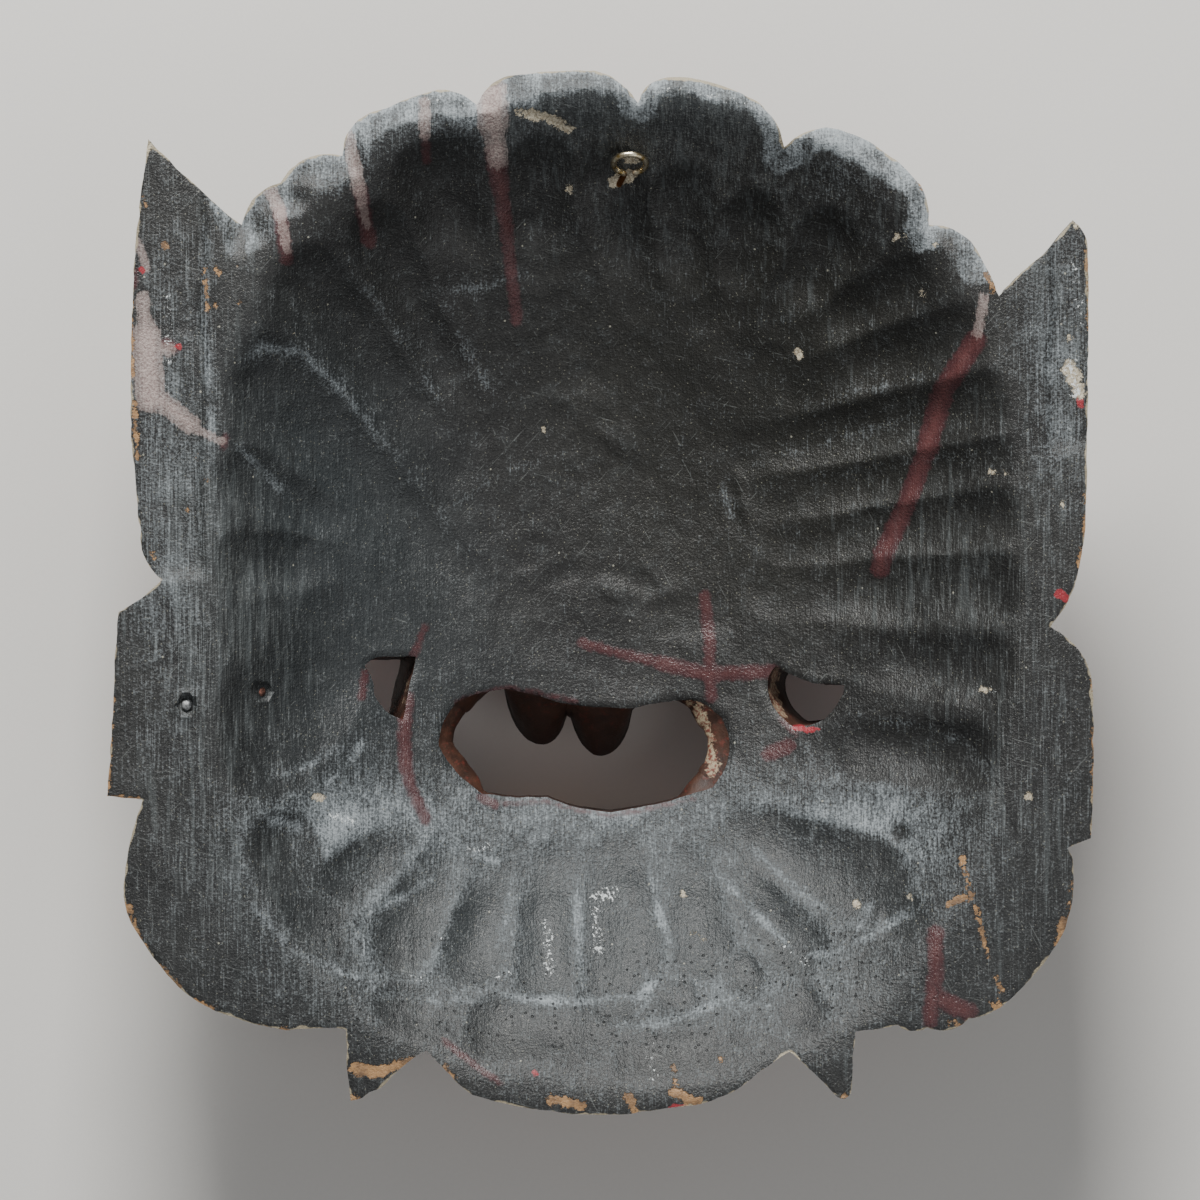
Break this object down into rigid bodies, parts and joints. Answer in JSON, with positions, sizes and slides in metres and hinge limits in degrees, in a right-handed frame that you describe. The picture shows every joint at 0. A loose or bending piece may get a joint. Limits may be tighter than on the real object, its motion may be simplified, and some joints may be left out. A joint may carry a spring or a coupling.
{
  "type": "carved wooden mask",
  "caption": "Carved wooden guardian mask lying face down: hollowed, gouge-cut back with an open mouth, a scalloped mane, pointed ears and a screw eye to hang it by.",
  "frame": {"origin": "centre of the footprint, on the plane that the highest points of the carved face rest on", "axes": "+Z out of the hollow back, +Y to the top of the mask, +X to the right as the back is seen from above"},
  "size_m": [0.3298, 0.3492, 0.104],
  "materials": {
    "painted_wood": "worn near-black paint on the back, old red lacquer on the face",
    "screw_eye_metal": "worn bright plating over brass",
    "brad_metal": "dull, partly painted over"
  },
  "bodies": {
    "root": {"mask": "painted_wood", "screw_eye": "screw_eye_metal", "brad_1": "brad_metal", "brad_2": "brad_metal"}
  },
  "joints": []
}
